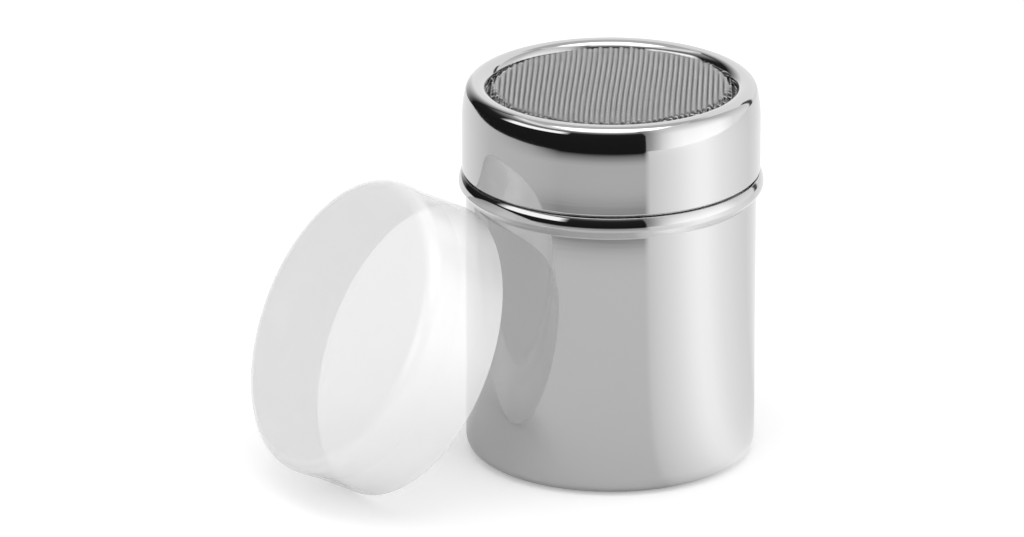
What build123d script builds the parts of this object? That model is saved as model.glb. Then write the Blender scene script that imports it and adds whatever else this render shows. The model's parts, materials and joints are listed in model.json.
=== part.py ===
from build123d import *
import math
import os

# Powder shaker: a drawn steel can, a push-on lid with a wire mesh, and a moulded dust cap leaning on the can.
# Sizes are in millimetres. The origin is the centre of the can's flat base, and +Z is up.

# Can: one sheet, with a bead rolled into the wall and a plain neck above it; the bead's turn is in degrees
can_radius = 30.0
can_height = 72.6
can_sheet = 0.5
base_corner_radius = 3.2
neck_height = 13.65
bead_stand_out = 1.5
bead_lower_round = 1.7
bead_upper_round = 3.2
bead_upper_turn = 33.0
bead_shoulder_bend = 0.1
bead_lower_fillet = 1.6
bead_upper_fillet = 0.3

# Lid: a pressed shell whose skirt slides over the neck, with a side that leans in to a rolled rim
lid_sheet = 0.7
lid_fit = 0.1
lid_edge_gap = 0.33
lid_side_radius = 26.0
lid_side_lean = 13.0
lid_rim_radius = 2.35

# Mesh: a flat net on a shallow step, with a flange round it
mesh_thickness = 0.8
mesh_side_gap = 0.9
mesh_edge_round = 0.7
mesh_step = 1.8
mesh_flange_gap = 0.1
net_gap = 2.0
net_bar = 0.6

# Clamp ring: an angle section wedged into the lid's leaning side under the mesh
ring_sheet = 0.5
ring_skirt = 3.8
ring_corner_radius = 1.0
ring_fit = 0.02
ring_bore_gap = 0.4
ring_seat_gap = 0.3

# Dust cap: a thin moulded cup that fits over the lid's skirt
cap_wall = 0.45
cap_fit = 0.02
cap_height = 18.4
cap_corner_radius = 2.8
cap_waist_level = 10.8
cap_rim_flare = 0.15
cap_corner_swell = 0.25
cap_rim_round = 0.2

# Where the cap leans: angles in degrees, from +X about +Z and up from the floor, then its gap to the can
# and how far its middle lies to one side of the can's
cap_bearing = 208.2
cap_lean = 27.65
cap_lean_gap = 0.6
cap_side_step = 3.55

# Heights that follow from the stack of pieces
bead_level = can_height - neck_height
bead_crest = Vector(can_radius + bead_stand_out, bead_level)
bead_turn = math.radians(bead_upper_turn)
bead_shoulder_round = can_sheet + bead_shoulder_bend
bead_lower_centre = bead_crest - Vector(bead_lower_round, 0)
bead_upper_centre = bead_crest - Vector(bead_upper_round, 0)
bead_turn_way = Vector(math.cos(bead_turn), math.sin(bead_turn))
bead_shoulder_centre = bead_upper_centre + bead_turn_way * (bead_upper_round - bead_shoulder_round)
lid_edge_level = bead_shoulder_centre.Y + bead_shoulder_round + lid_edge_gap
ring_bottom_level = can_height + ring_seat_gap
ring_top_level = ring_bottom_level + ring_skirt
flange_level = ring_top_level + mesh_thickness
mesh_level = flange_level + mesh_step
lip_level = flange_level + mesh_flange_gap

# Radii that follow from the fits
lid_bore_radius = can_radius + lid_fit
lid_radius = lid_bore_radius + lid_sheet
lid_lean = math.radians(lid_side_lean)
side_to_rim = lid_side_radius - lid_rim_radius
side_centre = Vector(lid_radius - lid_side_radius, lip_level - side_to_rim * math.sin(lid_lean))
rim_centre = Vector(side_centre.X + side_to_rim * math.cos(lid_lean), lip_level)
mesh_radius = rim_centre.X - lid_rim_radius - mesh_side_gap
ring_bore_radius = mesh_radius + ring_bore_gap
cap_waist_radius = lid_radius + cap_fit + cap_wall
cap_rim_radius = cap_waist_radius + cap_rim_flare


def turned(outline):
    """Turn an outline, drawn as radius and height, into a solid round the Z axis."""
    return revolve(Plane.XZ * make_face(outline), Axis.Z)


def sheet_between(outer, inner):
    """Turn the section of a wall, given its outer and inner sides, into a solid."""
    start = Line(outer[0] @ 0, inner[0] @ 0)
    end = Line(outer[-1] @ 1, inner[-1] @ 1)
    return turned(outer + inner + [start, end])


def arc_about(centre, start, end):
    """The shorter arc about a centre from a start to an end."""
    middle = ((start - centre) + (end - centre)).normalized() * (start - centre).length + centre
    return ThreePointArc(start, middle, end)


def can_side(inset):
    """The can's outer side, drawn in by an inset, from the middle of the base to the neck's edge."""
    wall = can_radius - inset
    corner = base_corner_radius - inset

    def fillet_to(centre, rounding, radius, side):
        """The centre, the wall end and the bead end of a fillet between the wall and a round of the bead."""
        across = wall + radius - centre.X
        rise = math.sqrt((rounding + radius) ** 2 - across ** 2)
        fillet_centre = Vector(wall + radius, centre.Y + side * rise)
        on_wall = Vector(wall, fillet_centre.Y)
        on_bead = centre + (fillet_centre - centre) * (rounding / (rounding + radius))
        return fillet_centre, on_wall, on_bead

    low_centre, low_wall, low_bead = fillet_to(
        bead_lower_centre, bead_lower_round - inset, bead_lower_fillet + inset, -1)
    high_centre, high_wall, high_bead = fillet_to(
        bead_shoulder_centre, bead_shoulder_round - inset, bead_upper_fillet + inset, 1)
    crest = bead_crest - Vector(inset, 0)
    shoulder = bead_upper_centre + bead_turn_way * (bead_upper_round - inset)
    floor_edge = Vector(wall - corner, inset)
    wall_foot = Vector(wall, inset + corner)
    return [
        Line(Vector(0, inset), floor_edge),
        RadiusArc(floor_edge, wall_foot, -corner),
        Line(wall_foot, low_wall),
        arc_about(low_centre, low_wall, low_bead),
        arc_about(bead_lower_centre, low_bead, crest),
        arc_about(bead_upper_centre, crest, shoulder),
        arc_about(bead_shoulder_centre, shoulder, high_bead),
        arc_about(high_centre, high_bead, high_wall),
        Line(high_wall, Vector(wall, can_height)),
    ]


def make_can_body():
    """The can, open at the top of its neck."""
    return sheet_between(can_side(0), can_side(can_sheet))


def lid_side_place(inset, level):
    """The radius of the lid's leaning side, drawn in by an inset, at a level."""
    return side_centre.X + math.sqrt((lid_side_radius - inset) ** 2 - (level - side_centre.Y) ** 2)


def lid_side(inset):
    """The lid's outer side, drawn in by an inset, from the skirt's edge over the rim to the lip's edge."""
    skirt = lid_radius - inset
    return [
        Line(Vector(skirt, lid_edge_level), Vector(skirt, side_centre.Y)),
        CenterArc(side_centre, lid_side_radius - inset, 0, lid_side_lean),
        CenterArc(rim_centre, lid_rim_radius - inset, lid_side_lean, 180 - lid_side_lean),
    ]


def make_lid_shell():
    """The lid: skirt, leaning side and the rim that rolls over and down into the opening."""
    return sheet_between(lid_side(0), lid_side(lid_sheet))


def make_mesh_screen():
    """The mesh: one holed face for the net, and a solid step and flange round it."""
    net_radius = mesh_radius - mesh_thickness
    net_level = mesh_level - mesh_thickness
    flange_radius = lid_side_place(lid_sheet + mesh_flange_gap, flange_level)

    pitch = net_gap + net_bar
    steps = math.ceil(net_radius / pitch)
    gaps = []
    for column in range(-steps, steps + 1):
        for row in range(-steps, steps + 1):
            far_corner = math.hypot(abs(column) * pitch + net_gap / 2, abs(row) * pitch + net_gap / 2)
            if far_corner <= net_radius - net_bar:
                place = Pos(column * pitch, row * pitch, net_level)
                gaps.append(place * Wire.make_rect(net_gap, net_gap))
    rim = Pos(0, 0, net_level) * Wire.make_circle(net_radius)
    net = extrude(Face(rim, gaps), mesh_thickness, dir=(0, 0, 1))

    round_start = Vector(mesh_radius - mesh_edge_round, mesh_level)
    round_end = Vector(mesh_radius, mesh_level - mesh_edge_round)
    net_top = Vector(net_radius, mesh_level)
    step_foot = Vector(mesh_radius, flange_level)
    flange_top = Vector(flange_radius, flange_level)
    flange_bottom = Vector(flange_radius, ring_top_level)
    inner_foot = Vector(net_radius, ring_top_level)
    border = turned([
        Line(net_top, round_start),
        RadiusArc(round_start, round_end, mesh_edge_round),
        Line(round_end, step_foot),
        Line(step_foot, flange_top),
        Line(flange_top, flange_bottom),
        Line(flange_bottom, inner_foot),
        Line(inner_foot, net_top),
    ])
    return net + border


def ring_side(inset):
    """The ring's outer side, drawn in by an inset, from the bore to the skirt's edge."""
    top = ring_top_level - inset
    against_lid = lid_sheet + ring_fit
    corner_level = ring_top_level - ring_corner_radius
    corner_centre = Vector(lid_side_place(against_lid + ring_corner_radius, corner_level), corner_level)
    corner_way = (corner_centre - side_centre).normalized()
    corner = ring_corner_radius - inset
    corner_start = corner_centre + Vector(0, corner)
    corner_end = corner_centre + corner_way * corner
    skirt_end = Vector(lid_side_place(against_lid + inset, ring_bottom_level), ring_bottom_level)
    return [
        Line(Vector(ring_bore_radius, top), corner_start),
        arc_about(corner_centre, corner_start, corner_end),
        arc_about(side_centre, corner_end, skirt_end),
    ]


def make_mesh_clamp_ring():
    """The ring under the mesh: a flat top that carries the flange, and a skirt pressed into the lid."""
    return sheet_between(ring_side(0), ring_side(ring_sheet))


def cap_side(inset):
    """The cap's outer side, drawn in by an inset, from its rim to the middle of its crown."""
    corner = cap_corner_radius - inset
    skirt_level = cap_height - cap_corner_radius
    rim_edge = Vector(cap_rim_radius - inset, 0)
    waist = Vector(cap_waist_radius - inset, cap_waist_level)
    skirt_top = Vector(cap_waist_radius + cap_corner_swell - inset, skirt_level)
    crown_edge = skirt_top + Vector(-corner, corner)
    return [
        Line(rim_edge, waist),
        TangentArc(skirt_top, waist, tangent=(0, -1)),
        RadiusArc(skirt_top, crown_edge, -corner),
        Line(crown_edge, Vector(0, crown_edge.Y)),
    ]


def make_dust_cap():
    """The cap, with a rounded rim, leaning with its rim's top on the can and its foot on the floor."""
    cup = sheet_between(cap_side(0), cap_side(cap_wall))
    cup = fillet(cup.edges().group_by(Axis.Z)[0], cap_rim_round)

    lean = math.radians(cap_lean)
    bearing = math.radians(cap_bearing)
    rounded = cap_rim_radius - cap_rim_round
    foot = rounded * math.cos(lean) + cap_rim_round * (1 - math.sin(lean))
    away = can_radius + cap_lean_gap + rounded * math.sin(lean) + cap_rim_round * (1 - math.cos(lean))
    outward = Vector(math.cos(bearing), math.sin(bearing), 0)
    sideways = outward.cross(Vector(0, 0, 1))
    place = Plane(
        origin=outward * away + sideways * cap_side_step + Vector(0, 0, foot),
        x_dir=sideways,
        z_dir=outward * math.cos(lean) + Vector(0, 0, math.sin(lean)),
    )
    return place * cup


os.makedirs("parts", exist_ok=True)
pieces = {
    "can_body": make_can_body,
    "lid_shell": make_lid_shell,
    "mesh_screen": make_mesh_screen,
    "mesh_clamp_ring": make_mesh_clamp_ring,
    "dust_cap": make_dust_cap,
}
for name, make in pieces.items():
    export_step(make(), f"parts/{name}.step")
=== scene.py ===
import json
import math

import bmesh
import bpy
from bpy.props import FloatProperty, FloatVectorProperty, IntProperty, PointerProperty
from mathutils import Matrix, Vector


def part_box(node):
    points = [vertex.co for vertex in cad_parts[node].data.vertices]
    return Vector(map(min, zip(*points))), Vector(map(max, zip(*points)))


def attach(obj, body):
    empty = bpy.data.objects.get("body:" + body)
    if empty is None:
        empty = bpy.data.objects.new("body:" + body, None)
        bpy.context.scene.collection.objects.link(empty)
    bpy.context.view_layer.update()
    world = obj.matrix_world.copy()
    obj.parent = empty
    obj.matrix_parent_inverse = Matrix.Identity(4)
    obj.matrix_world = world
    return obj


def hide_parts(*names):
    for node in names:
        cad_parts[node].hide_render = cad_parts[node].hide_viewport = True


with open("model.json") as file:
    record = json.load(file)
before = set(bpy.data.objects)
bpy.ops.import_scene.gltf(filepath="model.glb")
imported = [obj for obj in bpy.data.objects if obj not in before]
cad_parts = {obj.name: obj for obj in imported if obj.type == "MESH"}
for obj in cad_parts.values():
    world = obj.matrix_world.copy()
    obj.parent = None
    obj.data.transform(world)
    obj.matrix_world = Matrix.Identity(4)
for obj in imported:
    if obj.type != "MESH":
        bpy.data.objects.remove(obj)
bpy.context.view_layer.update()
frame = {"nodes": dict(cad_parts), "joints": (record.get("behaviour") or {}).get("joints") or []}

bl_info = {
    "name": "Powder shaker",
    "version": (1, 0, 0),
    "blender": (4, 5, 0),
    "location": "3D View > Sidebar > Shaker",
    "description": "Dresses a powder shaker: polished can and lid, woven mesh, clamp ring and dust cap",
    "category": "Object",
}

MM = 0.001
FULL_TURN = math.tau
SHARP_EDGE = math.radians(40)
MERGE_DISTANCE = 0.0005 * MM
EDGE_RUN = 0.05 * MM

# Corners of each steel piece as the frame has it, in metres
CAN_LOW, CAN_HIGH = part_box("can_body")
LID_LOW, LID_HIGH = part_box("lid_shell")
MESH_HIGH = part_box("mesh_screen")[1]
RING_LOW, RING_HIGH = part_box("mesh_clamp_ring")

# The stage round the can: bearings run from the front to the right, in degrees, and distances are in metres
# Brightness of the paper as the steel shows it, painted by place: painted shade that falls off with distance
# in front of the curtain, with a dark strip, and painted shade and painted light by bearing elsewhere
IN_FRONT = ((-100, 0.0), (-62, 0.35), (-38, 1.0), (24, 1.0), (28, 0.0))
PAINTED_PAPER_BY_DISTANCE = ((0.0, 0.61), (0.164, 0.61), (0.174, 0.56), (0.18, 0.45), (0.185, 0.25), (0.204, 0.27),
                     (0.209, 0.4), (0.217, 0.5), (0.229, 0.51), (0.33, 0.29), (0.53, 0.0))
PAINTED_PAPER_BY_BEARING = ((-180, 0.91), (-140, 0.83), (-124, 0.76), (-100, 0.6), (-60, 0.58), (25, 0.67),
                    (34, 0.78), (47, 0.92), (60, 1.09), (67, 1.15), (75, 1.14), (90, 1.0), (110, 0.88),
                    (125, 0.8), (147, 0.88), (180, 0.91))
# Brightness of the cards, by height above the floor and by bearing: a card ends where its values end
CURTAIN_BY_BEARING = ((-132, 1.0), (25.6, 1.0))
CURTAIN_BY_HEIGHT = ((0.0, 0.012), (0.38, 0.02), (0.45, 0.08), (0.65, 0.37), (0.84, 1.28))
EDGE_BY_BEARING = ((-165, 0.95), (-150, 0.45), (-140, 0.15), (-132, 0.0))
EDGE_BY_HEIGHT = ((0.0, 1.0), (0.7, 1.0))
SWEEP_BY_BEARING = ((25.6, 0.33), (30, 0.48), (35, 0.76), (39, 1.0), (47, 1.32), (56, 1.49), (75, 1.57),
                    (90, 1.5), (105, 1.1), (128, 1.0))
SWEEP_BY_HEIGHT = ((0.0, 1.0), (0.22, 0.85), (0.5, 0.65), (1.04, 0.5))
WINDOW_BY_BEARING = ((-95, 0.0), (-84, 1.0), (-40, 1.0), (-32, 0.0))
WINDOW_BY_HEIGHT = ((0.2, 1.0), (0.42, 1.0))
FLAG_BY_BEARING = ((129, 1.0), (132, 0.08), (136, 0.08), (139, 1.0))
FLAG_BY_HEIGHT = ((0.0, 1.0), (0.35, 1.0))
BACK_BY_BEARING = ((183, 0.6), (190, 1.0), (213, 1.0), (220, 0.6))
BACK_BY_HEIGHT = ((0.0, 1.0), (0.16, 1.0))
PLAIN = ((0.0, 1.0), (1.0, 1.0))

# The camera's focal length in millimetres, its place and the place that it looks at
CAMERA_LENS = 316.4
CAMERA_PLACE = Vector((0, -1751.2, 678.1)) * MM
CAMERA_TARGET = Vector((-20.6, 13.18, 34.03)) * MM

# The cap comes off along its own axis, which points from its rim to its crown
CAP_AXIS = Vector(next(joint["axis"] for joint in frame["joints"] if joint["child"] == "cap"))


def linear(hex_colour):
    """A colour written as sRGB hex, as the linear RGBA that a shader reads."""
    channels = [int(hex_colour[i:i + 2], 16) / 255 for i in (1, 3, 5)]
    return [c / 12.92 if c <= 0.04045 else ((c + 0.055) / 1.055) ** 2.4 for c in channels] + [1.0]


def length(name, description, millimetres):
    """A property that holds a length, kept in metres."""
    return FloatProperty(name=name, description=description, default=millimetres * MM, min=0.0,
                         precision=5, subtype="DISTANCE", unit="LENGTH")


def angle(name, description, degrees):
    """A property that holds an angle, kept in radians."""
    return FloatProperty(name=name, description=description, default=math.radians(degrees), min=0.0,
                         subtype="ANGLE", unit="ROTATION")


def colour(name, description, hex_colour):
    """A property that holds a surface colour."""
    return FloatVectorProperty(name=name, description=description, default=linear(hex_colour), size=4,
                               min=0.0, max=1.0, subtype="COLOR")


def brightness(name, description, level):
    """A property that holds how bright a part of the stage is, where 1 shows as white."""
    return FloatProperty(name=name, description=description, default=level, min=0.0, subtype="FACTOR")


class SteelSizes(bpy.types.PropertyGroup):
    """Sizes of the can, the lid and the clamp ring that the frame's boxes don't give."""

    segments: IntProperty(name="Segments", description="Faces round each turned piece", default=256, min=32)
    can_sheet: length("Can sheet", "Thickness of the can's steel", 0.5)
    base_corner: length("Base corner", "Outer radius between the base and the wall", 3.2)
    bead_level: length("Bead level", "Height of the bead's crest above the base", 58.55)
    bead_stand_out: length("Bead stand-out", "How far the bead stands out from the wall", 1.5)
    bead_fillet: length("Bead fillet", "Radius between the bead and the wall", 0.3)
    lower_round: length("Lower round", "Radius of the bead's section below its crest", 1.0)
    lower_turn: angle("Lower turn", "How far the bead's lower round turns in before it runs straight", 37.0)
    upper_round: length("Upper round", "Radius of the bead's section above its crest", 4.1)
    upper_turn: angle("Upper turn", "How far the bead's upper round turns in before the shoulder", 33.5)
    shoulder_round: length("Shoulder round", "Radius of the bend at the bead's top", 0.12)
    lid_sheet: length("Lid sheet", "Thickness of the lid's steel", 0.7)
    side_round: length("Side round", "Radius of the curve by which the lid's side leans in", 26.0)
    side_lean: angle("Side lean", "How far the lid's side leans in before the rim", 13.0)
    rim_round: length("Rim round", "Outer radius of the rim that rolls into the opening", 2.35)
    lip_angle: angle("Lip angle", "How far short of straight down the rim ends", 10.0)
    ring_sheet: length("Ring sheet", "Thickness of the clamp ring's steel", 0.5)
    ring_corner: length("Ring corner", "Outer radius of the clamp ring's bend", 1.0)
    ring_bore: length("Ring bore", "Radius of the hole in the clamp ring", 24.99)
    ring_fit: length("Ring fit", "Room between the clamp ring and the lid", 0.02)


class MeshSizes(bpy.types.PropertyGroup):
    """Sizes of the woven wire cloth."""

    pitch: length("Pitch", "Distance from one thick wire to the next", 1.07)
    wire: length("Wire", "Diameter of the thick wires, which run from front to back", 0.76)
    # The fine wires are about 0.6 mm apart, and are drawn farther apart so that they show
    spacing: length("Spacing", "Distance from one fine wire to the next", 0.8)
    fine_wire: length("Fine wire", "Diameter of the fine wires, which run across", 0.3)
    dip: length("Dip", "How far the fine wires sag between two thick wires", 0.24)
    plateau: length("Plateau", "Radius of the raised disc, to the middle of its step", 24.4)
    bend: length("Bend", "Width of the step down to the flange", 1.2)
    crown: length("Crown", "How much higher the disc's middle is than its edge", 0.2)
    drift: length("Drift", "How far the thick wires wander sideways from front to back", 0.95)
    edge_gap: length("Edge gap", "Room between the ends of the wires and the lid", 0.4)


class CapSizes(bpy.types.PropertyGroup):
    """Sizes of the dust cap that the frame's box doesn't give."""

    segments: IntProperty(name="Segments", description="Faces round the cap", default=192, min=32)
    wall: length("Wall", "Thickness of the moulded wall", 0.45)
    corner: length("Corner", "Outer radius between the skirt and the crown", 2.8)
    waist_level: length("Waist level", "Distance of the waist from the rim", 10.8)
    rim_flare: length("Rim flare", "How far the rim stands out from the waist", 0.15)
    corner_swell: length("Corner swell", "How far the skirt swells below the corner", 0.25)


class Finishes(bpy.types.PropertyGroup):
    """Colours of the materials, and how much of what lies behind the cap shows through it."""

    polished: colour("Polished steel", "Buffed stainless steel", "#D3D3D4")
    # The two wire colours belong to one drawn stainless wire: the thick wires' darker grey is painted shade
    # low in the cloth, and the fine wires' lighter grey is a painted highlight
    thick_wire: colour("Thick wire", "Drawn stainless wire, low in the cloth and dull", "#8E8E8E")
    fine_wire: colour("Fine wire", "Drawn stainless wire, high in the cloth and rubbed bright", "#E6E6E6")
    pressed: colour("Pressed steel", "Unpolished stainless sheet", "#B9B9B8")
    plastic: colour("Cap plastic", "Undyed polypropylene", "#FAFAFA")
    opacity: FloatProperty(name="Cap opacity", description="How much the cap's wall hides", default=0.42,
                           min=0.0, max=1.0, subtype="FACTOR")
    paper: colour("Floor paper", "White studio paper", "#EFEFEF")


class StageLight(bpy.types.PropertyGroup):
    """Brightness of the stage."""

    surround: brightness("Surround", "Light from all round", 0.8)
    overhead: brightness("Overhead", "Softbox above", 1.5)
    fill: brightness("Fill", "Softbox in front on the right", 1.0)
    curtain: brightness("Curtain", "Dark curtain in front", 1.0)
    sweep: brightness("Sweep", "White sweep on the right", 1.0)
    flag: brightness("Flag", "Dark flag behind on the right", 1.0)
    window: brightness("Window", "Softbox in front on the left", 1.4)
    ceiling: brightness("Ceiling", "Grey ceiling above and behind", 0.6)
    back: brightness("Back", "White card behind on the left", 1.7)
    paper_lift: brightness("Paper lift", "Glow that brings the paper up to white", 0.26)


def draw_line(bm, pen, radius, height, run=2 * MM):
    """Extend a section in a straight line to a radius and height, in short runs; return its last vertex.

    The first and last runs are very short, so that the shading of a bend does not spread into the line.
    """
    start = pen.co.copy()
    end = Vector((radius, 0, height))
    reach = (end - start).length
    steps = max(1, round(reach / run))
    margin = min(EDGE_RUN / reach, 0.2)
    shares = [margin] + [margin + (1 - 2 * margin) * step / steps for step in range(1, steps + 1)] + [1.0]
    for share in shares:
        pen = bmesh.ops.extrude_vert_indiv(bm, verts=[pen])["verts"][0]
        pen.co = start.lerp(end, share)
    return pen


def draw_arc(bm, pen, radius, height, degrees, steps):
    """Extend a section by an arc about a radius and height, anticlockwise; return its last vertex."""
    drawn = bmesh.ops.spin(bm, geom=[pen], cent=(radius, 0, height), axis=(0, -1, 0), dvec=(0, 0, 0),
                           angle=math.radians(degrees), steps=steps)
    return next(item for item in drawn["geom_last"] if isinstance(item, bmesh.types.BMVert))


def turn_section(bm, segments):
    """Turn a drawn section round the Z axis into a closed shell that faces outwards."""
    bmesh.ops.remove_doubles(bm, verts=bm.verts, dist=MERGE_DISTANCE)
    bmesh.ops.spin(bm, geom=bm.verts[:] + bm.edges[:], cent=(0, 0, 0), axis=(0, 0, 1), dvec=(0, 0, 0),
                   angle=FULL_TURN, steps=segments, use_merge=True)
    bmesh.ops.remove_doubles(bm, verts=bm.verts, dist=MERGE_DISTANCE)
    bmesh.ops.recalc_face_normals(bm, faces=bm.faces)


def to_mesh(bm, name):
    """Make a bmesh into a smooth mesh with its real edges kept sharp."""
    mesh = bpy.data.meshes.new(name)
    bm.to_mesh(mesh)
    bm.free()
    mesh.shade_smooth()
    mesh.set_sharp_from_angle(angle=SHARP_EDGE)
    return mesh


def add_object(mesh, name, material):
    """Put a mesh into the scene with one material."""
    mesh.materials.clear()
    mesh.materials.append(material)
    added = bpy.data.objects.new(name, mesh)
    bpy.context.scene.collection.objects.link(added)
    return added


def add_piece(mesh, name, material, body, node):
    """Add and return a piece of the shaker, which rides on a body and stands for a node."""
    piece = add_object(mesh, name, material)
    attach(piece, body)
    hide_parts(node)
    return piece


def add_node(tree, kind, inputs=None, **settings):
    """Add a node with its settings, and link or set its inputs."""
    node = tree.nodes.new(kind)
    for name, value in settings.items():
        setattr(node, name, value)
    for name, value in (inputs or {}).items():
        if isinstance(value, bpy.types.NodeSocket):
            tree.links.new(value, node.inputs[name])
        else:
            node.inputs[name].default_value = value
    return node


def new_material(name):
    """An empty material and its node tree."""
    material = bpy.data.materials.new(name)
    material.use_nodes = True
    material.node_tree.nodes.clear()
    return material, material.node_tree


def polished_stainless(finishes):
    """Stainless sheet, drawn and then buffed on a wheel.

    It is a mirror, with faint buffing lines round the piece and a slight haze from handling.
    """
    material, tree = new_material("polished_stainless")
    place = add_node(tree, "ShaderNodeTexCoord").outputs["Object"]
    # Buffing lines are about 0.1 mm apart, and are drawn 0.7 mm apart so that they show
    line_spacing = 0.7 * MM
    line_length = 25 * MM
    stretched = add_node(tree, "ShaderNodeMapping", {
        "Vector": place, "Scale": (1 / line_length, 1 / line_length, 1 / line_spacing)})
    lines = add_node(tree, "ShaderNodeTexNoise", {
        "Vector": stretched.outputs["Vector"], "Scale": 1.0, "Detail": 3.0, "Roughness": 0.6})
    haze_size = 14 * MM
    haze = add_node(tree, "ShaderNodeTexNoise", {"Vector": place, "Scale": 1 / haze_size, "Detail": 2.0})
    worn = add_node(tree, "ShaderNodeMath", {0: lines.outputs["Fac"], 1: haze.outputs["Fac"]},
                    operation="MULTIPLY")
    roughness = add_node(tree, "ShaderNodeMapRange", {
        "Value": worn.outputs["Value"], "From Min": 0.1, "From Max": 0.45, "To Min": 0.035, "To Max": 0.075})
    ripple = add_node(tree, "ShaderNodeBump", {
        "Height": lines.outputs["Fac"], "Strength": 0.006, "Distance": 0.2 * MM})
    steel = add_node(tree, "ShaderNodeBsdfPrincipled", {
        "Base Color": finishes.polished, "Metallic": 1.0, "Roughness": roughness.outputs["Result"],
        "Normal": ripple.outputs["Normal"]})
    add_node(tree, "ShaderNodeOutputMaterial", {"Surface": steel.outputs["BSDF"]})
    return material


def drawn_wire(name, shade):
    """Stainless wire pulled through a die and woven.

    It is bright, with a gloss that differs a little from place to place. Its base colour comes from the
    caller, and the two copies differ only by painted shade and painted highlight.
    """
    material, tree = new_material(name)
    place = add_node(tree, "ShaderNodeTexCoord").outputs["Object"]
    streak_size = 1.5 * MM
    streaks = add_node(tree, "ShaderNodeTexNoise", {"Vector": place, "Scale": 1 / streak_size, "Detail": 3.0})
    roughness = add_node(tree, "ShaderNodeMapRange", {
        "Value": streaks.outputs["Fac"], "From Min": 0.3, "From Max": 0.7, "To Min": 0.12, "To Max": 0.2})
    steel = add_node(tree, "ShaderNodeBsdfPrincipled", {
        "Base Color": shade, "Metallic": 1.0, "Roughness": roughness.outputs["Result"]})
    add_node(tree, "ShaderNodeOutputMaterial", {"Surface": steel.outputs["BSDF"]})
    return material


def pressed_stainless(finishes):
    """Stainless sheet as it leaves the press: grey and satin, with fine rolling grain."""
    material, tree = new_material("pressed_stainless")
    place = add_node(tree, "ShaderNodeTexCoord").outputs["Object"]
    # Rolling grain is about 0.05 mm wide, and is drawn 0.5 mm wide so that it shows
    grain_width = 0.5 * MM
    grain_length = 12 * MM
    along_grain = add_node(tree, "ShaderNodeMapping", {
        "Vector": place, "Scale": (1 / grain_width, 1 / grain_length, 1 / grain_width)})
    grain = add_node(tree, "ShaderNodeTexNoise", {
        "Vector": along_grain.outputs["Vector"], "Scale": 1.0, "Detail": 2.0})
    roughness = add_node(tree, "ShaderNodeMapRange", {
        "Value": grain.outputs["Fac"], "From Min": 0.3, "From Max": 0.7, "To Min": 0.28, "To Max": 0.42})
    ripple = add_node(tree, "ShaderNodeBump", {
        "Height": grain.outputs["Fac"], "Strength": 0.05, "Distance": 0.1 * MM})
    steel = add_node(tree, "ShaderNodeBsdfPrincipled", {
        "Base Color": finishes.pressed, "Metallic": 1.0, "Roughness": roughness.outputs["Result"],
        "Normal": ripple.outputs["Normal"]})
    add_node(tree, "ShaderNodeOutputMaterial", {"Surface": steel.outputs["BSDF"]})
    return material


def moulded_polypropylene(finishes, name, opacity):
    """Undyed polypropylene in a thin wall.

    It is milky, and what lies behind it shows through faintly, with a soft gloss that varies a little.
    """
    material, tree = new_material(name)
    place = add_node(tree, "ShaderNodeTexCoord").outputs["Object"]
    cloud_size = 18 * MM
    clouds = add_node(tree, "ShaderNodeTexNoise", {"Vector": place, "Scale": 1 / cloud_size, "Detail": 2.0})
    roughness = add_node(tree, "ShaderNodeMapRange", {
        "Value": clouds.outputs["Fac"], "To Min": 0.1, "To Max": 0.16})
    plastic = add_node(tree, "ShaderNodeBsdfPrincipled", {
        "Base Color": finishes.plastic, "Roughness": roughness.outputs["Result"], "IOR": 1.49,
        "Specular IOR Level": 1.0, "Alpha": opacity})
    add_node(tree, "ShaderNodeOutputMaterial", {"Surface": plastic.outputs["BSDF"]})
    return material


def bearing_round(tree, place):
    """The bearing of a place round the can, from the front to the right, in degrees."""
    across = add_node(tree, "ShaderNodeSeparateXYZ", {"Vector": place})
    nearer = add_node(tree, "ShaderNodeMath", {0: across.outputs["Y"], 1: -1.0}, operation="MULTIPLY")
    turn = add_node(tree, "ShaderNodeMath", {0: across.outputs["X"], 1: nearer.outputs["Value"]},
                    operation="ARCTAN2")
    return add_node(tree, "ShaderNodeMath", {0: turn.outputs["Value"]}, operation="DEGREES").outputs["Value"]


def grey_ramp(tree, value, stops):
    """A brightness that follows a value, given as pairs of value and brightness."""
    low, high = stops[0][0], stops[-1][0]
    share = add_node(tree, "ShaderNodeMapRange", {"Value": value, "From Min": low, "From Max": high})
    ramp = add_node(tree, "ShaderNodeValToRGB", {"Fac": share.outputs["Result"]})
    elements = ramp.color_ramp.elements
    while len(elements) < len(stops):
        elements.new(1.0)
    for element, (place, level) in zip(elements, stops):
        element.position = (place - low) / (high - low)
        element.color = (level, level, level, 1.0)
    return ramp.outputs["Color"]


def painted_paper_reflection(tree):
    """Painted brightness of the paper as the steel shows it: painted shade that falls away in front on the
    left, and painted light on the right.
    """
    place = add_node(tree, "ShaderNodeTexCoord").outputs["Object"]
    distance = add_node(tree, "ShaderNodeVectorMath", {0: place}, operation="LENGTH").outputs["Value"]
    bearing = bearing_round(tree, place)
    in_front = grey_ramp(tree, bearing, IN_FRONT)
    falling = grey_ramp(tree, distance, PAINTED_PAPER_BY_DISTANCE)
    round_about = grey_ramp(tree, bearing, PAINTED_PAPER_BY_BEARING)
    return add_node(tree, "ShaderNodeMix", {
        "Factor": in_front, 6: round_about, 7: falling}, data_type="RGBA").outputs[2]


def seen_rays(tree):
    """Whether a ray shows its surface, directly, in metal or through glass, and whether it left metal."""
    path = add_node(tree, "ShaderNodeLightPath")
    glossy = path.outputs["Is Glossy Ray"]
    mirrored = add_node(tree, "ShaderNodeMath", {
        0: path.outputs["Is Camera Ray"], 1: glossy}, operation="MAXIMUM")
    seen = add_node(tree, "ShaderNodeMath", {
        0: mirrored.outputs["Value"], 1: path.outputs["Is Transmission Ray"]}, operation="MAXIMUM")
    return seen.outputs["Value"], glossy


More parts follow.
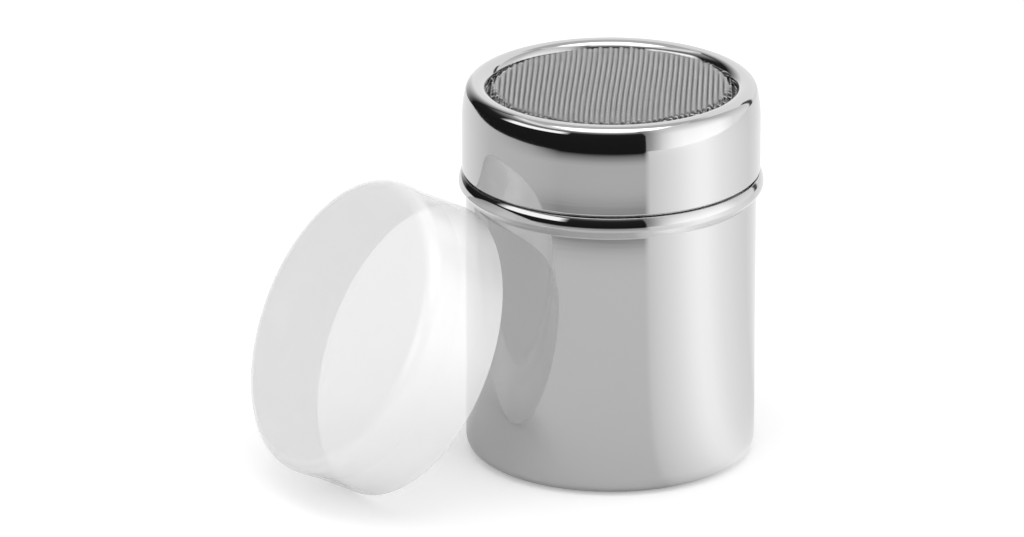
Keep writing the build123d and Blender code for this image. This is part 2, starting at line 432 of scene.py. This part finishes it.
def studio_paper(finishes, light):
    """White paper on the floor, which glows just enough to show as white outside the shadows, and whose
    brightness in the steel's reflections is painted shade and painted light by place.
    """
    material, tree = new_material("studio_paper")
    seen, glossy = seen_rays(tree)
    glow = add_node(tree, "ShaderNodeMath", {0: seen, 1: light.paper_lift}, operation="MULTIPLY")
    # For glossy rays, the paper's colour and glow are scaled by painted shade and painted light that follow
    # the place
    shade = add_node(tree, "ShaderNodeMix", {
        "Factor": glossy, 6: linear("#FFFFFF"), 7: painted_paper_reflection(tree)}, data_type="RGBA").outputs[2]
    shown = add_node(tree, "ShaderNodeVectorMath", {0: shade, 1: finishes.paper[:3]}, operation="MULTIPLY")
    paper = add_node(tree, "ShaderNodeBsdfDiffuse", {"Color": shown.outputs["Vector"]})
    lift = add_node(tree, "ShaderNodeEmission", {"Color": shade, "Strength": glow.outputs["Value"]})
    both = add_node(tree, "ShaderNodeAddShader", {0: paper.outputs["BSDF"], 1: lift.outputs["Emission"]})
    add_node(tree, "ShaderNodeOutputMaterial", {"Surface": both.outputs["Shader"]})
    return material


def studio_card(name, level, by_height, by_bearing):
    """A card that the steel mirrors, at a brightness that follows the height and the bearing."""
    material, tree = new_material(name)
    place = add_node(tree, "ShaderNodeTexCoord").outputs["Object"]
    across = add_node(tree, "ShaderNodeSeparateXYZ", {"Vector": place})
    up = grey_ramp(tree, across.outputs["Z"], by_height)
    round_about = grey_ramp(tree, bearing_round(tree, place), by_bearing)
    shade = add_node(tree, "ShaderNodeVectorMath", {0: up, 1: round_about}, operation="MULTIPLY")
    lit = add_node(tree, "ShaderNodeEmission", {"Color": shade.outputs["Vector"], "Strength": level})
    add_node(tree, "ShaderNodeOutputMaterial", {"Surface": lit.outputs["Emission"]})
    return material


def draw_can_side(bm, sizes, inset):
    """Draw one side of the can's wall, from the middle of the base to the neck's edge."""
    wall = CAN_HIGH.x - sizes.bead_stand_out - inset
    corner = sizes.base_corner - inset
    level = sizes.bead_level
    fillet = sizes.bead_fillet
    lower = sizes.lower_turn
    upper = sizes.upper_turn
    lower_centre = CAN_HIGH.x - sizes.lower_round
    upper_centre = CAN_HIGH.x - sizes.upper_round
    slope_end = lower_centre + (sizes.lower_round - inset) * math.cos(lower)
    slope_end_level = level - (sizes.lower_round - inset) * math.sin(lower)
    slope_start = wall + fillet * (1 - math.cos(lower))
    foot_level = slope_end_level - (slope_end - slope_start) / math.tan(lower) - fillet * math.sin(lower)
    reach = sizes.upper_round - inset - sizes.shoulder_round
    shoulder = upper_centre + reach * math.cos(upper)
    shoulder_level = level + reach * math.sin(upper)
    top_level = shoulder_level + sizes.shoulder_round
    pen = bm.verts.new((0, 0, CAN_LOW.z + inset))
    pen = draw_line(bm, pen, wall - corner, CAN_LOW.z + inset)
    pen = draw_arc(bm, pen, wall - corner, CAN_LOW.z + inset + corner, 90, steps=14)
    pen = draw_line(bm, pen, wall, foot_level)
    pen = draw_arc(bm, pen, wall + fillet, foot_level, -math.degrees(lower), steps=6)
    pen = draw_line(bm, pen, slope_end, slope_end_level)
    pen = draw_arc(bm, pen, lower_centre, level, math.degrees(lower), steps=12)
    pen = draw_arc(bm, pen, upper_centre, level, math.degrees(upper), steps=16)
    pen = draw_arc(bm, pen, shoulder, shoulder_level, 90 - math.degrees(upper), steps=6)
    pen = draw_line(bm, pen, wall + fillet, top_level)
    pen = draw_arc(bm, pen, wall + fillet, top_level + fillet, -90, steps=6)
    return draw_line(bm, pen, wall, CAN_HIGH.z - sizes.can_sheet / 2)


def lid_curves(sizes):
    """The centres of the lid's leaning side and of its rolled rim, as radius and height."""
    rim_level = LID_HIGH.z - sizes.rim_round
    apart = sizes.side_round - sizes.rim_round
    side_centre = (LID_HIGH.x - sizes.side_round, rim_level - apart * math.sin(sizes.side_lean))
    return side_centre, (side_centre[0] + apart * math.cos(sizes.side_lean), rim_level)


def draw_lid_side(bm, sizes, inset):
    """Draw one side of the lid's wall, from the skirt's edge to the lip's; return both ends."""
    side_centre, rim_centre = lid_curves(sizes)
    skirt = LID_HIGH.x - inset
    lean = math.degrees(sizes.side_lean)
    start = bm.verts.new((skirt, 0, LID_LOW.z + sizes.lid_sheet / 2))
    pen = draw_line(bm, start, skirt, side_centre[1])
    pen = draw_arc(bm, pen, *side_centre, lean, steps=12)
    pen = draw_arc(bm, pen, *rim_centre, 180 - lean - math.degrees(sizes.lip_angle), steps=40)
    return start, pen


def draw_ring_side(bm, sizes, inset):
    """Draw one side of the clamp ring's wall, from the bore to the skirt's edge; return both ends."""
    side_centre, _ = lid_curves(sizes)
    reach = sizes.side_round - sizes.lid_sheet - sizes.ring_fit
    corner_level = RING_HIGH.z - sizes.ring_corner
    corner_rise = corner_level - side_centre[1]
    slope = math.asin(corner_rise / (reach - sizes.ring_corner))
    corner = side_centre[0] + (reach - sizes.ring_corner) * math.cos(slope)
    foot_slope = math.asin((RING_LOW.z + sizes.ring_sheet / 2 - side_centre[1]) / reach)
    start = bm.verts.new((sizes.ring_bore + sizes.ring_sheet / 2, 0, RING_HIGH.z - inset))
    pen = draw_line(bm, start, corner, RING_HIGH.z - inset)
    pen = draw_arc(bm, pen, corner, corner_level, math.degrees(slope) - 90, steps=8)
    pen = draw_arc(bm, pen, *side_centre, math.degrees(foot_slope - slope), steps=6)
    return start, pen


def draw_cap_side(bm, sizes, height, widest, inset):
    """Draw one side of the cap's wall on its own axis, from the rim to the middle; return the rim's end."""
    waist = widest - max(sizes.rim_flare, sizes.corner_swell)
    top = height - sizes.corner
    start = bm.verts.new((waist + sizes.rim_flare - inset, 0, sizes.wall / 2))
    pen = draw_line(bm, start, waist - inset, sizes.waist_level)
    steps = 8
    for step in range(1, steps + 1):
        share = step / steps
        radius = waist + sizes.corner_swell * share * (2 - share)
        pen = draw_line(bm, pen, radius - inset, sizes.waist_level + (top - sizes.waist_level) * share)
    pen = draw_arc(bm, pen, waist + sizes.corner_swell - sizes.corner, top, 90, steps=20)
    draw_line(bm, pen, 0, height - inset)
    return start


def cap_place():
    """The cap's place from the frame: a matrix from its own axis, its height and its widest radius."""
    side = CAP_AXIS.cross((0, 0, 1)).normalized()
    up = CAP_AXIS.cross(side)
    points = [vertex.co for vertex in frame["nodes"]["dust_cap"].data.vertices]
    spans = [(min(p.dot(way) for p in points), max(p.dot(way) for p in points))
             for way in (side, up, CAP_AXIS)]
    middle = side * sum(spans[0]) / 2 + up * sum(spans[1]) / 2 + CAP_AXIS * spans[2][0]
    place = Matrix.Translation(middle) @ Matrix((side, up, CAP_AXIS)).transposed().to_4x4()
    return place, spans[2][1] - spans[2][0], (spans[0][1] - spans[0][0]) / 2


def cloth_level(sizes, radius):
    """Height of the thick wires' middles: a low crown, a step down and a flat flange."""
    flange = RING_HIGH.z + sizes.wire / 2
    edge = MESH_HIGH.z - (sizes.wire + sizes.fine_wire) / 2
    disc = edge + sizes.crown * (1 - (radius / sizes.plateau) ** 2)
    share = min(1.0, max(0.0, (radius - sizes.plateau) / sizes.bend + 0.5))
    step = share * share * (3 - 2 * share)
    return disc + (flange - disc) * step


def thick_wire(sizes, index):
    """Points along one thick wire, which runs from front to back."""
    reach = MESH_HIGH.x - sizes.edge_gap
    offset = index * sizes.pitch
    count = int(math.sqrt(reach ** 2 - offset ** 2) / sizes.spacing)
    sway = sizes.drift * math.cos(math.pi * offset / (2 * reach))
    points = []
    for step in range(-count, count + 1):
        along = step * sizes.spacing
        across = offset + sway * math.sin(math.pi * along / (2 * reach))
        points.append((across, along, cloth_level(sizes, math.hypot(offset, along))))
    return points


def fine_wire(sizes, index):
    """Points along one fine wire, which passes over and under the thick wires by turns."""
    reach = MESH_HIGH.x - sizes.edge_gap
    offset = (index + 0.5) * sizes.spacing
    run = sizes.pitch / 4
    count = int(math.sqrt(reach ** 2 - offset ** 2) / run)
    side = 1 if index % 2 == 0 else -1
    points = []
    for step in range(-count, count + 1):
        along = step * run
        sideways = math.cos(math.pi * along / (2 * reach)) * math.sin(math.pi * offset / (2 * reach))
        sway = sizes.drift * sideways
        wave = side * math.cos(math.pi * along / sizes.pitch)
        over = wave * (sizes.wire + sizes.fine_wire / 3) / 2 - (1 - wave ** 2) * sizes.dip
        points.append((along + sway, offset, cloth_level(sizes, math.hypot(along, offset)) + over))
    return points


def wire_mesh(name, wires, diameter, sides):
    """Wires given by their points, as one mesh of round tubes."""
    curve = bpy.data.curves.new(name, "CURVE")
    curve.dimensions = "3D"
    curve.bevel_depth = diameter / 2
    curve.bevel_resolution = sides // 2 - 2
    curve.use_fill_caps = True
    for points in wires:
        spline = curve.splines.new("POLY")
        spline.points.add(len(points) - 1)
        for point, place in zip(spline.points, points):
            point.co = (*place, 1.0)
    holder = bpy.data.objects.new(name, curve)
    mesh = bpy.data.meshes.new_from_object(holder)
    mesh.name = name
    mesh.shade_smooth()
    bpy.data.objects.remove(holder)
    return mesh


class SHAKER_OT_can(bpy.types.Operator):
    """Make the can: base, wall, bead and neck"""

    bl_idname = "shaker.can"
    bl_label = "Can body"

    def execute(self, context):
        sizes = context.scene.shaker_steel
        bm = bmesh.new()
        outer_end = draw_can_side(bm, sizes, 0)
        draw_can_side(bm, sizes, sizes.can_sheet)
        draw_arc(bm, outer_end, outer_end.co.x - sizes.can_sheet / 2, outer_end.co.z, 180, steps=8)
        turn_section(bm, sizes.segments)
        steel = polished_stainless(context.scene.shaker_finishes)
        add_piece(to_mesh(bm, "polished_can"), "polished_can", steel, "can", "can_body")
        return {"FINISHED"}


class SHAKER_OT_lid(bpy.types.Operator):
    """Make the lid: skirt, shoulder and rolled lip"""

    bl_idname = "shaker.lid"
    bl_label = "Lid shell"

    def execute(self, context):
        sizes = context.scene.shaker_steel
        half = sizes.lid_sheet / 2
        bm = bmesh.new()
        skirt_end, lip_end = draw_lid_side(bm, sizes, 0)
        draw_lid_side(bm, sizes, sizes.lid_sheet)
        draw_arc(bm, skirt_end, skirt_end.co.x - half, skirt_end.co.z, -180, steps=8)
        lip_middle = lip_end.co.x + half * math.cos(sizes.lip_angle)
        lip_level = lip_end.co.z - half * math.sin(sizes.lip_angle)
        draw_arc(bm, lip_end, lip_middle, lip_level, 180, steps=8)
        turn_section(bm, sizes.segments)
        steel = polished_stainless(context.scene.shaker_finishes)
        add_piece(to_mesh(bm, "polished_lid"), "polished_lid", steel, "lid", "lid_shell")
        return {"FINISHED"}


class SHAKER_OT_mesh(bpy.types.Operator):
    """Weave the mesh from wires that run lengthwise and across"""

    bl_idname = "shaker.mesh"
    bl_label = "Woven mesh"

    def execute(self, context):
        sizes = context.scene.shaker_mesh
        finishes = context.scene.shaker_finishes
        reach = MESH_HIGH.x - sizes.edge_gap
        columns = int(reach / sizes.pitch)
        rows = int(reach / sizes.spacing)
        thick = [thick_wire(sizes, index) for index in range(-columns, columns + 1)]
        fine = [fine_wire(sizes, index) for index in range(-rows, rows)]
        thick_mesh = wire_mesh("mesh_thick_wires", thick, sizes.wire, sides=8)
        fine_mesh = wire_mesh("mesh_fine_wires", fine, sizes.fine_wire, sides=6)
        # A darker copy of one wire finish, as painted shade, goes on the thick wires, and a lighter copy, as
        # painted highlight, goes on the fine wires
        dull = drawn_wire("drawn_stainless_painted_shade", finishes.thick_wire)
        bright = drawn_wire("drawn_stainless_painted_highlight", finishes.fine_wire)
        add_piece(thick_mesh, "mesh_thick_wires", dull, "lid", "mesh_screen")
        add_piece(fine_mesh, "mesh_fine_wires", bright, "lid", "mesh_screen")
        return {"FINISHED"}


class SHAKER_OT_ring(bpy.types.Operator):
    """Make the ring that clamps the mesh inside the lid"""

    bl_idname = "shaker.ring"
    bl_label = "Mesh clamp ring"

    def execute(self, context):
        sizes = context.scene.shaker_steel
        half = sizes.ring_sheet / 2
        bm = bmesh.new()
        side_centre, _ = lid_curves(sizes)
        bore_end, skirt_end = draw_ring_side(bm, sizes, 0)
        draw_ring_side(bm, sizes, sizes.ring_sheet)
        draw_arc(bm, bore_end, bore_end.co.x, bore_end.co.z - half, 180, steps=8)
        inward = Vector((side_centre[0] - skirt_end.co.x, 0, side_centre[1] - skirt_end.co.z)).normalized()
        middle = skirt_end.co + inward * half
        draw_arc(bm, skirt_end, middle.x, middle.z, -180, steps=8)
        turn_section(bm, sizes.segments)
        steel = pressed_stainless(context.scene.shaker_finishes)
        add_piece(to_mesh(bm, "pressed_ring"), "pressed_ring", steel, "lid", "mesh_clamp_ring")
        return {"FINISHED"}


class SHAKER_OT_cap(bpy.types.Operator):
    """Mould the dust cap and lean it on the can"""

    bl_idname = "shaker.cap"
    bl_label = "Dust cap"

    def execute(self, context):
        sizes = context.scene.shaker_cap
        place, height, widest = cap_place()
        bm = bmesh.new()
        rim_end = draw_cap_side(bm, sizes, height, widest, 0)
        draw_cap_side(bm, sizes, height, widest, sizes.wall)
        draw_arc(bm, rim_end, rim_end.co.x - sizes.wall / 2, rim_end.co.z, -180, steps=8)
        turn_section(bm, sizes.segments)
        for face in bm.faces:
            face.material_index = int(face.calc_center_median().z < sizes.wall / 2)
        bmesh.ops.transform(bm, matrix=place, verts=bm.verts)
        finishes = context.scene.shaker_finishes
        wall = moulded_polypropylene(finishes, "moulded_polypropylene", finishes.opacity)
        # The wall is seen edge on at the rim, so nothing shows through it there
        rim = moulded_polypropylene(finishes, "moulded_polypropylene_rim", opacity=1.0)
        cap = add_piece(to_mesh(bm, "moulded_cap"), "moulded_cap", wall, "cap", "dust_cap")
        cap.data.materials.append(rim)
        return {"FINISHED"}


def add_card(bm, name, material):
    """Add a card that only the shaker's own mirror surfaces see."""
    card = add_object(to_mesh(bm, name), name, material)
    card.visible_camera = False
    card.visible_diffuse = False
    card.visible_transmission = False
    card.visible_shadow = False


def add_curved_card(name, level, distance, by_height, by_bearing):
    """Add an upright card that curves round the can at a distance, and ends where its values end."""
    bottom, top = by_height[0][0], by_height[-1][0]
    degrees_from, degrees_to = by_bearing[0][0], by_bearing[-1][0]
    bm = bmesh.new()
    draw_line(bm, bm.verts.new((distance, 0, bottom)), distance, top, run=1.0)
    bmesh.ops.rotate(bm, verts=bm.verts, cent=(0, 0, 0),
                     matrix=Matrix.Rotation(math.radians(degrees_from - 90), 3, "Z"))
    bmesh.ops.spin(bm, geom=bm.verts[:] + bm.edges[:], cent=(0, 0, 0), axis=(0, 0, 1), dvec=(0, 0, 0),
                   angle=math.radians(degrees_to - degrees_from), steps=64)
    add_card(bm, name, studio_card(name, level, by_height, by_bearing))


def add_flat_card(name, level, middle, width, depth):
    """Add a level card above the can."""
    bm = bmesh.new()
    bmesh.ops.create_grid(bm, x_segments=1, y_segments=1, size=0.5)
    bmesh.ops.scale(bm, verts=bm.verts, vec=(width, depth, 1))
    bmesh.ops.translate(bm, verts=bm.verts, vec=middle)
    add_card(bm, name, studio_card(name, level, PLAIN, PLAIN))


def add_softbox(name, level, middle, facing, width, height, mirrored):
    """Add an area light of a given brightness, out of the camera's sight and mirrored in the steel or not."""
    light = bpy.data.lights.new(name, "AREA")
    light.shape = "RECTANGLE"
    light.size = width
    light.size_y = height
    light.energy = level * math.pi * width * height
    lamp = bpy.data.objects.new(name, light)
    lamp.location = middle
    lamp.rotation_euler = Vector(facing).to_track_quat("-Z", "Y").to_euler()
    lamp.visible_camera = False
    lamp.visible_glossy = mirrored
    bpy.context.scene.collection.objects.link(lamp)


def light_world(level):
    """A white surround, which gives off less light than it shows."""
    world = bpy.data.worlds.new("surround")
    world.use_nodes = True
    tree = world.node_tree
    tree.nodes.clear()
    seen, _ = seen_rays(tree)
    strength = add_node(tree, "ShaderNodeMapRange", {"Value": seen, "To Min": level})
    white = add_node(tree, "ShaderNodeBackground", {
        "Color": linear("#FFFFFF"), "Strength": strength.outputs["Result"]})
    add_node(tree, "ShaderNodeOutputWorld", {"Surface": white.outputs["Background"]})
    bpy.context.scene.world = world


def add_camera():
    """A long lens that looks down on the shaker from the front."""
    camera = bpy.data.cameras.new("camera")
    camera.lens = CAMERA_LENS
    camera.clip_end = 20
    holder = bpy.data.objects.new("camera", camera)
    holder.location = CAMERA_PLACE
    holder.rotation_euler = (CAMERA_TARGET - CAMERA_PLACE).to_track_quat("-Z", "Y").to_euler()
    bpy.context.scene.collection.objects.link(holder)
    bpy.context.scene.camera = holder


class SHAKER_OT_stage(bpy.types.Operator):
    """Set the stage: paper floor, cards, softboxes, surround and camera"""

    bl_idname = "shaker.stage"
    bl_label = "Stage"

    def execute(self, context):
        light = context.scene.shaker_light
        bm = bmesh.new()
        bmesh.ops.create_grid(bm, x_segments=1, y_segments=1, size=4.0)
        bmesh.ops.translate(bm, verts=bm.verts, vec=(0, 0, -0.05 * MM))
        floor = add_object(to_mesh(bm, "floor"), "floor", studio_paper(context.scene.shaker_finishes, light))
        add_curved_card("dark_curtain", light.curtain, 0.54, CURTAIN_BY_HEIGHT, CURTAIN_BY_BEARING)
        add_curved_card("curtain_edge", light.curtain, 0.54, EDGE_BY_HEIGHT, EDGE_BY_BEARING)
        add_curved_card("window_card", light.window, 0.52, WINDOW_BY_HEIGHT, WINDOW_BY_BEARING)
        add_curved_card("white_sweep", light.sweep, 0.6, SWEEP_BY_HEIGHT, SWEEP_BY_BEARING)
        add_curved_card("dark_flag", light.flag, 0.58, FLAG_BY_HEIGHT, FLAG_BY_BEARING)
        add_curved_card("back_card", light.back, 0.6, BACK_BY_HEIGHT, BACK_BY_BEARING)
        add_flat_card("ceiling_card", light.ceiling, middle=(0, 0.55, 1.55), width=1.6, depth=1.0)
        add_softbox("overhead_softbox", light.overhead, middle=(0, -0.4, 1.5), facing=(0, 0, -1),
                    width=1.4, height=0.85, mirrored=True)
        add_softbox("fill_softbox", light.fill, middle=(0.72, -0.9, 0.34), facing=(-0.72, 0.9, -0.3),
                    width=0.8, height=0.8, mirrored=False)
        light_world(light.surround)
        add_camera()
        context.scene.view_settings.view_transform = "Standard"
        return {"FINISHED"}


OPERATORS = (SHAKER_OT_can, SHAKER_OT_lid, SHAKER_OT_mesh, SHAKER_OT_ring, SHAKER_OT_cap, SHAKER_OT_stage)
SETTINGS = {
    "shaker_steel": SteelSizes,
    "shaker_mesh": MeshSizes,
    "shaker_cap": CapSizes,
    "shaker_finishes": Finishes,
    "shaker_light": StageLight,
}


class SHAKER_PT_panel(bpy.types.Panel):
    """Lists the shaker's pieces and their settings"""

    bl_label = "Powder shaker"
    bl_idname = "SHAKER_PT_panel"
    bl_space_type = "VIEW_3D"
    bl_region_type = "UI"
    bl_category = "Shaker"

    def draw(self, context):
        for operator in OPERATORS:
            self.layout.operator(operator.bl_idname)
        for name, group in SETTINGS.items():
            box = self.layout.box()
            for setting in group.__annotations__:
                box.prop(getattr(context.scene, name), setting)


CLASSES = (*SETTINGS.values(), *OPERATORS, SHAKER_PT_panel)


def register():
    for each in CLASSES:
        bpy.utils.register_class(each)
    for name, group in SETTINGS.items():
        setattr(bpy.types.Scene, name, PointerProperty(type=group))


def unregister():
    for name in SETTINGS:
        delattr(bpy.types.Scene, name)
    for each in reversed(CLASSES):
        bpy.utils.unregister_class(each)


def main():
    """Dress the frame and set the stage."""
    register()
    bpy.ops.shaker.can()
    bpy.ops.shaker.lid()
    bpy.ops.shaker.mesh()
    bpy.ops.shaker.ring()
    bpy.ops.shaker.cap()
    bpy.ops.shaker.stage()


if __name__ == "__main__":
    main()
